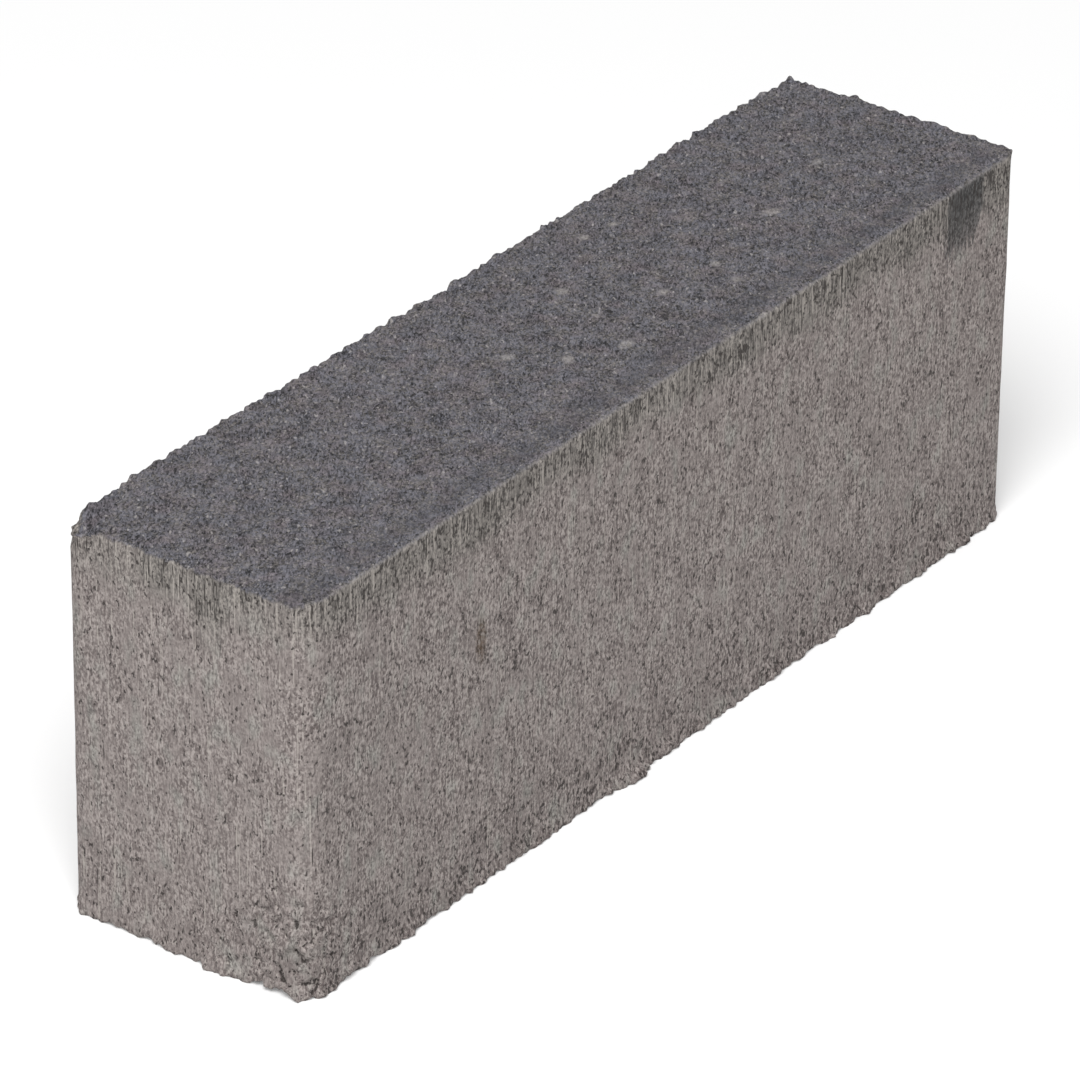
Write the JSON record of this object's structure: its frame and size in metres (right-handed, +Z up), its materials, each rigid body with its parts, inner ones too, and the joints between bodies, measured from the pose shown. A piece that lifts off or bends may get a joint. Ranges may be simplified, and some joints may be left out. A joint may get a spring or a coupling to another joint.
{
  "type": "concrete paving stone",
  "caption": "Slim upright concrete paving stone with a dark granular wearing face, drawn warm-grey sides, rounded mould corners and a spalled corner, for paths and drives.",
  "frame": {"origin": "middle of the bedding face, the flat underside that the stone stands on", "axes": "+X along the length towards the far end, +Y across the width towards the back side, +Z up to the wearing face"},
  "size_m": [0.2, 0.048, 0.072],
  "materials": {
    "concrete": "pressed concrete, granular anthracite wearing face and smoother warm-grey mould-drawn sides"
  },
  "bodies": {
    "root": {"paving_stone": "concrete"}
  },
  "joints": []
}
